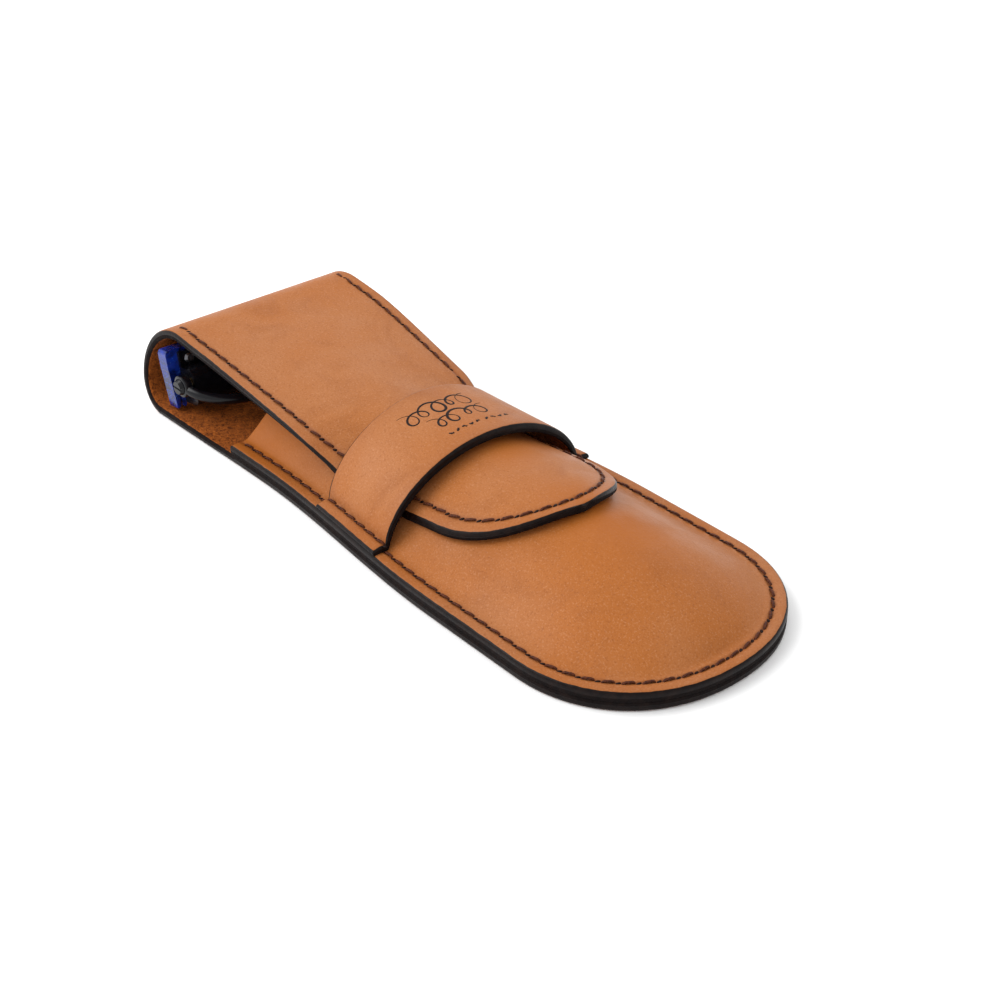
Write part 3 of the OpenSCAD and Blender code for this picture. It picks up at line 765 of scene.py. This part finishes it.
def grain_group():
    """Leather grain: fine pores and soft creases, as a height, and the speckle of its dye."""
    g = bpy.data.node_groups.new("leather_grain", "ShaderNodeTree")
    g.interface.new_socket("Vector", in_out="INPUT", socket_type="NodeSocketVector")
    scale = g.interface.new_socket("Pore scale", in_out="INPUT", socket_type="NodeSocketFloat")
    scale.default_value = 1700.0
    g.interface.new_socket("Height", in_out="OUTPUT", socket_type="NodeSocketFloat")
    g.interface.new_socket("Speckle", in_out="OUTPUT", socket_type="NodeSocketFloat")
    g.interface.new_socket("Pores", in_out="OUTPUT", socket_type="NodeSocketFloat")
    n = Nodes(g)
    gin, gout = n.add("NodeGroupInput"), n.add("NodeGroupOutput")
    vec = gin.outputs["Vector"]
    cell = n.add("ShaderNodeTexVoronoi", feature="SMOOTH_F1")
    n.link(vec, cell.inputs["Vector"])
    n.link(gin.outputs["Pore scale"], cell.inputs["Scale"])
    fine = n.noise(vec, 5200, 3, 0.6)
    soft = n.noise(vec, 420, 3, 0.55)
    h = n.math("ADD", n.math("MULTIPLY", cell.outputs["Distance"], 0.55),
               n.math("MULTIPLY", fine, 0.5))
    n.link(n.math("ADD", h, n.math("MULTIPLY", soft, 0.9)), gout.inputs["Height"])
    speck = n.noise(vec, 2600, 3, 0.6)
    n.link(n.ramp(speck, 0.50, 0.72), gout.inputs["Speckle"])
    n.link(n.ramp(n.noise(vec, 2400, 2, 0.6), 0.54, 0.70), gout.inputs["Pores"])
    return g


GRAIN = grain_group()


def leather():
    """Tan hide: mottled dye, speckled grain, painted edges, a rough flesh side and painted shade.
    """
    mat, n, shader, coord = new_material("tan_hide", **{"Specular IOR Level": 0.12})
    grain = n.add("ShaderNodeGroup", node_tree=GRAIN)
    n.link(coord, grain.inputs["Vector"])
    cloud = n.ramp(n.noise(coord, 26, 3, 0.55, 0.6), 0.34, 0.68)
    streak = n.ramp(n.noise(coord, 75, 4, 0.6, 0.8), 0.45, 0.75)
    base = n.blend(cloud, (0.348, 0.129, 0.043, 1), (0.335, 0.106, 0.022, 1))
    base = n.blend(n.math("MULTIPLY", streak, 0.45), base, (0.235, 0.072, 0.018, 1))
    base = n.blend(n.math("MULTIPLY", grain.outputs["Speckle"], 0.34), base, (0.50, 0.24, 0.12, 1))
    base = n.blend(n.math("MULTIPLY", grain.outputs["Pores"], 0.45), base, (0.20, 0.055, 0.012, 1))
    # painted shade: a deeper orange under the flap, on the tongue just past the keeper and about
    # the tongue's tip
    base = n.blend(n.math("MULTIPLY", n.mark("painted_shade"), 0.85), base, (0.340, 0.092, 0.006, 1))
    # handling darkens the rim a little; painted shade darkens the thread's groove more
    base = n.blend(n.math("MULTIPLY", n.mark("rub"), 0.30), base, (0.19, 0.055, 0.016, 1))
    base = n.blend(n.math("MULTIPLY", n.mark("groove"), 0.55), base, (0.12, 0.030, 0.010, 1))
    # flesh side: loose fibres, redder and deeper
    fibre = n.noise(coord, 1200, 6, 0.75, 1.2)
    flesh_c = n.blend(n.ramp(fibre, 0.3, 0.72), (0.050, 0.009, 0.001, 1), (0.44, 0.118, 0.018, 1))
    flesh = n.ramp(n.mark("flesh"), 0.4, 0.6)
    base = n.blend(flesh, base, flesh_c)
    # painted edge, laid on by hand so its line wanders
    wobble = n.math("MULTIPLY", n.math("SUBTRACT", n.noise(coord, 520, 3), 0.5), 0.55)
    paint = n.ramp(n.math("ADD", n.mark("paint"), wobble), 0.02, 0.22)
    edge_c = n.blend(n.ramp(n.noise(coord, 700, 4), 0.35, 0.7), (0.003, 0.001, 0.001, 1),
                     (0.009, 0.004, 0.003, 1))
    n.link(n.blend(paint, base, edge_c), shader.inputs["Base Color"])
    rough = n.ramp(n.noise(coord, 140, 3), 0.3, 0.7, 0.40, 0.52)
    rough = n.math("ADD", rough, n.math("MULTIPLY", flesh, 0.45))
    rough = n.math("SUBTRACT", rough, n.math("MULTIPLY", paint, 0.06))
    n.link(rough, shader.inputs["Roughness"])
    nap = n.math("MULTIPLY", n.math("MULTIPLY", fibre, flesh), 5.0)
    bump(n, shader, n.math("ADD", grain.outputs["Height"], nap), 0.00006, 0.9)
    return mat


def thread_finish(name, dark, light):
    """Waxed thread: twisted fibres in two tones, with a dull shine."""
    mat, n, shader, coord = new_material(name, **{"Specular IOR Level": 0.15})
    twist = n.noise(coord, 2600, 4, 0.7, 0.4)
    n.link(n.blend(n.ramp(twist, 0.3, 0.7), dark, light), shader.inputs["Base Color"])
    n.link(n.ramp(twist, 0.3, 0.7, 0.45, 0.7), shader.inputs["Roughness"])
    bump(n, shader, twist, 0.00005)
    return mat


def acetate():
    """Blue marbled acetate: clouds of two blues with pale veins, polished."""
    mat, n, shader, coord = new_material("blue_acetate", **{"Specular IOR Level": 0.3,
                                                           "Coat Weight": 0.1,
                                                           "Coat Roughness": 0.1})
    swirl = n.noise(coord, 130, 5, 0.6, 2.4)
    vein = n.noise(coord, 210, 3, 0.5, 3.4)
    c = n.blend(n.ramp(swirl, 0.35, 0.62), (0.002, 0.004, 0.026, 1), (0.005, 0.024, 0.25, 1))
    c = n.blend(n.ramp(vein, 0.60, 0.70, 0, 0.55), c, (0.03, 0.10, 0.48, 1))
    n.link(c, shader.inputs["Base Color"])
    n.link(n.ramp(n.noise(coord, 300, 2), 0.3, 0.7, 0.12, 0.24), shader.inputs["Roughness"])
    bump(n, shader, n.noise(coord, 240, 2), 0.00004, 0.4)
    return mat


def metal(name, low, high, rough, metallic=1.0, spec=0.5, scale=900):
    """Metal or lacquer with faint polishing marks and small changes of tone."""
    mat, n, shader, coord = new_material(name, **{"Metallic": metallic, "Specular IOR Level": spec})
    stretch = n.add("ShaderNodeMapping")
    stretch.inputs["Scale"].default_value = (0.15, 1, 1)
    n.link(coord, stretch.inputs["Vector"])
    marks = n.noise(stretch.outputs["Vector"], scale, 4, 0.6)
    n.link(n.blend(n.ramp(marks, 0.3, 0.7), low, high), shader.inputs["Base Color"])
    n.link(n.ramp(marks, 0.3, 0.7, rough * 0.8, rough * 1.3), shader.inputs["Roughness"])
    bump(n, shader, marks, 0.00001, 0.5)
    return mat


HIDE = leather()
THREAD = thread_finish("waxed_thread", (0.022, 0.005, 0.002, 1), (0.11, 0.028, 0.011, 1))
# near-black finish of the awl holes: painted shade in the holes
HOLE_SHADE = thread_finish("pricked_hole_shade", (0.006, 0.001, 0.001, 1), (0.016, 0.004, 0.002, 1))
BURNT = thread_finish("burnt_mark", (0.004, 0.001, 0.001, 1), (0.014, 0.004, 0.002, 1))
ACETATE = acetate()
BLACK = metal("black_lacquer", (0.002, 0.002, 0.003, 1), (0.005, 0.005, 0.007, 1), 0.2, 0.0,
              0.25)
STEEL = metal("dark_steel", (0.10, 0.10, 0.11, 1), (0.17, 0.17, 0.18, 1), 0.35)
BRASS = metal("washer_brass", (0.16, 0.10, 0.04, 1), (0.25, 0.17, 0.07, 1), 0.35)
RUBBER = metal("ring_rubber", (0.010, 0.010, 0.010, 1), (0.022, 0.022, 0.022, 1), 0.6, 0.0,
               0.2, 1800)


# ---------------------------------------------------------------- assembly

def place_on(obj, mat, body, nodes=()):
    """Give a piece its finish, attach it to its body when a body is named, and hide the CAD nodes
    that it stands for.
    """
    obj.data.materials.clear()
    obj.data.materials.append(mat)
    if isinstance(body, str):
        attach(obj, body)
    else:
        a, b, start, end = body
        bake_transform(obj)
        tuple(start)
        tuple(end)
    if nodes:
        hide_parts(*nodes)


def metres(x, z):
    """Point of the frame, in metres, on the middle line."""
    return ((x + SHIFT) * MM, 0.0, z * MM)


def on_fold(turn):
    """Point of the frame on the fold's outer face at a turn."""
    x, z = fold_at(turn)
    return metres(float(x), float(z))


BENDS = [("case", "fold_a", on_fold(0.0), on_fold(SEG)),
         ("fold_a", "fold_b", on_fold(SEG), on_fold(2 * SEG)),
         ("fold_b", "fold_c", on_fold(2 * SEG), on_fold(3 * SEG)),
         ("fold_c", "flap", on_fold(3 * SEG), on_fold(TURN)),
         ("flap", "tongue", metres(CUT_X + 1, 17.0), metres(CUT_X + 19, 17.0))]


def build_leather():
    """The hide in five parts that run on from one another, the pocket and the keeper."""
    place_on(back_panel(), HIDE, BENDS[0], ["back_panel"])
    arc = 16
    place_on(strip("fold_lower_leather", np.linspace(SEG, 2 * SEG, arc)), HIDE, BENDS[1],
             ["fold_lower"])
    place_on(strip("fold_middle_leather", np.linspace(2 * SEG, 3 * SEG, arc)), HIDE, BENDS[2],
             ["fold_middle"])
    run = np.linspace(FLAP_X0, CUT_X, 40)[1:]
    place_on(strip("flap_leather", np.linspace(3 * SEG, TURN, arc), run), HIDE, BENDS[3],
             ["fold_upper", "flap"])
    place_on(tongue(), HIDE, BENDS[4], ["tongue"])
    place_on(front_panel(), HIDE, "case", ["front_panel"])
    place_on(keeper(), HIDE, "case", ["keeper"])


def build_thread():
    """Saddle stitches of the seam, the flap and the tongue, above and below."""
    x, y = seam_line(SEAM_INSET)
    rows = [(sewn_row("seam_stitches", x, y, border_height, SEAM_PITCH, 1, 0.16), "case",
             "seam_thread_top"),
            (sewn_row("seam_stitches_under", x, y, lambda a, b: 0 * a, SEAM_PITCH, -1, 0.56),
             "case", "seam_thread_under")]
    for sgn, label in ((-1, "near"), (1, "far")):
        x, y = flap_line(FLAP_INSET, 11.0, CUT_X)
        rows.append((sewn_row("flap_stitches_" + label, x, sgn * y, flap_top, FLAP_PITCH, 1, 0.16,
                              -sgn), BENDS[3], "flap_thread_top" if sgn < 0 else None))
        x, y = flap_line(FLAP_INSET, FLAP_X0 + 1.0, CUT_X)
        rows.append((sewn_row("flap_stitches_under_" + label, x, sgn * y,
                              lambda a, b: flap_top(a, b) - HIDE_T, FLAP_PITCH, -1, 0.0, sgn),
                     BENDS[3], None))
    x, y = tip_line(FLAP_INSET)
    rows.append((sewn_row("tongue_stitches", x, y, flap_top, FLAP_PITCH, 1, 0.16), BENDS[4], None))
    rows.append((sewn_row("tongue_stitches_under", x, y, lambda a, b: flap_top(a, b) - HIDE_T,
                          FLAP_PITCH, -1, 0.12), BENDS[4], None))
    for (thread, holes), body, node in rows:
        place_on(thread, THREAD, body, [node] if node else [])
        place_on(holes, HOLE_SHADE, body)


def build_mark():
    """A generic ornament burnt into the keeper: two rows of pen loops over a row of dashes.

    Each row runs along the strap's length in Y and its loops turn as sine and cosine."""
    mid = (KEEPER_X0 + KEEPER_X1) / 2
    loops = ((-3.6, -9.5, 7.5, 5, 2.5), (1.6, -6.0, 8.0, 4, 2.2))
    for i, (x0, y0, y1, turns, size) in enumerate(loops):
        t = np.linspace(0, 1, 420)
        swell = 0.55 + 0.45 * np.cos(2.2 * math.pi * t) ** 2
        x = mid + x0 - size * swell * np.cos(2 * math.pi * turns * t)
        y = mix(y0, y1, t) + 0.95 * size * swell * np.sin(2 * math.pi * turns * t)
        place_on(engraved_line(f"burnt_loops_{i + 1}", np.stack([x, y], 1)), BURNT, "case")
    for i in range(9):
        y = np.linspace(-5.4, -4.4, 12) + 1.75 * i + (0.6 if i > 4 else 0)
        x = mid + 6.2 + 0.25 * np.sin(y * 5)
        place_on(engraved_line(f"burnt_dash_{i + 1}", np.stack([x, y], 1), 0.9), BURNT, "case")


def build_comb():
    """Turned and bent parts of the handle, and the finishes of the CAD parts that stay."""
    r = HANDLE_D / 2
    x0, x1, cap = HANDLE_X0 - 1, HANDLE_X0 + 8, HANDLE_END - 8
    place_on(bail(), BLACK, "comb_handle", ["bail"])
    ferrule = [[x0, 2], [x0 + 0.2, 2.4], [x0 + 0.6, 2.6], [x0 + 2.5, 2.8], [x0 + 3.4, 3.1],
               [x0 + 4.3, r - 0.75], [x0 + 5.2, r - 0.35], [x0 + 6.2, r - 0.2], [x1 - 1.6, r - 0.2],
               [x1 - 1.5, r - 0.45], [x1 - 1.1, r - 0.45], [x1 - 1.0, r - 0.2], [x1 - 0.3, r - 0.2],
               [x1, r - 0.5]]
    place_on(turned("ferrule_turned", ferrule, 1.55), BLACK, "comb_handle",
             ["ferrule"])
    t = np.linspace(0, 1, 90)
    xs = mix(x1, cap, t)
    rad = r - 0.25 + 0.25 * np.sin(math.pi * t ** 0.6) - 0.3 * t
    for i in range(3):
        seat = np.abs(xs - (x1 + 10 + 5 * i)) < 1.1
        rad = np.where(seat, r - 0.8, rad)
    place_on(turned("barrel_turned", np.stack([xs, rad], 1), 1.6), ACETATE, "comb_handle",
             ["barrel"])
    tip = [[cap, r - 0.75], [cap + 0.2, r - 0.55], [cap + 0.6, r - 0.5], [cap + 5, r - 0.6],
           [cap + 6, r - 0.8], [cap + 6.8, r - 1.3], [cap + 7.5, r - 2.1], [cap + 7.9, r - 3.1],
           [cap + 8, r - 4.2], [cap + 8, 0.001]]
    place_on(turned("end_cap_turned", tip), BLACK, "comb_handle", ["end_cap"])
    for node, mat in (("grip_rings", RUBBER), ("core_rod", STEEL), ("comb_plate", ACETATE),
                      ("head_bar", BLACK), ("head_strip", STEEL), ("head_rivets", STEEL),
                      ("pivot_screws", BLACK), ("pivot_washers", BRASS)):
        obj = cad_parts[node]
        for s in range(max(1, len(obj.material_slots))):
            if not obj.material_slots:
                obj.data.materials.append(mat)
            obj.material_slots[s].material = mat


# ---------------------------------------------------------------- floor, light, camera

def camera():
    """Camera of a long lens, high at the toe's near side."""
    az, el, dist = math.radians(49.12), math.radians(32.21), 0.3643
    target = Vector((0.005686, 0.0080, 0.0))
    back = Vector((math.sin(az) * math.cos(el), -math.cos(az) * math.cos(el), math.sin(el)))
    cam = bpy.data.cameras.new("camera")
    cam.sensor_width, cam.lens = 36.0, 61.42
    cam.clip_start, cam.clip_end = 0.01, 20
    obj = bpy.data.objects.new("camera", cam)
    obj.location = target + back * dist
    obj.rotation_euler = (-back).to_track_quat("-Z", "Y").to_euler()
    bpy.context.scene.collection.objects.link(obj)
    bpy.context.scene.camera = obj


def area_light(name, place, size, power, colour=(1, 1, 1)):
    """Soft square light aimed at the sheath."""
    data = bpy.data.lights.new(name, "AREA")
    data.shape, data.size, data.energy, data.color = "SQUARE", size, power, colour
    obj = bpy.data.objects.new(name, data)
    obj.location = place
    obj.rotation_euler = (Vector((0, 0, 0.01)) - Vector(place)).to_track_quat("-Z", "Y").to_euler()
    bpy.context.scene.collection.objects.link(obj)


def floor():
    """Plain pale floor."""
    s = 3.0
    mesh = bpy.data.meshes.new("floor")
    mesh.from_pydata([(-s, -s, 0), (s, -s, 0), (s, s, 0), (-s, s, 0)], [], [(0, 1, 2, 3)])
    obj = bpy.data.objects.new("floor", mesh)
    bpy.context.scene.collection.objects.link(obj)
    mat, n, shader, coord = new_material("pale_floor", **{"Roughness": 0.9})
    tone = n.ramp(n.noise(coord, 3, 2), 0.3, 0.7)
    n.link(n.blend(tone, (0.93, 0.93, 0.93, 1), (0.95, 0.95, 0.95, 1)), shader.inputs["Base Color"])
    mesh.materials.append(mat)


def light():
    """White room light with a large soft key at the near side and a weak light behind."""
    world = bpy.data.worlds.new("room")
    bpy.context.scene.world = world
    world.use_nodes = True
    bg = world.node_tree.nodes["Background"]
    bg.inputs["Color"].default_value = (1, 1, 1, 1)
    bg.inputs["Strength"].default_value = 1.0
    area_light("key", (-0.45, -0.55, 0.65), 0.8, 8.0)
    area_light("back", (-0.3, 0.6, 0.6), 0.9, 1.5)


camera()
build_leather()
build_thread()
build_mark()
build_comb()
floor()
light()
scene = bpy.context.scene
scene.view_settings.view_transform = "Standard"
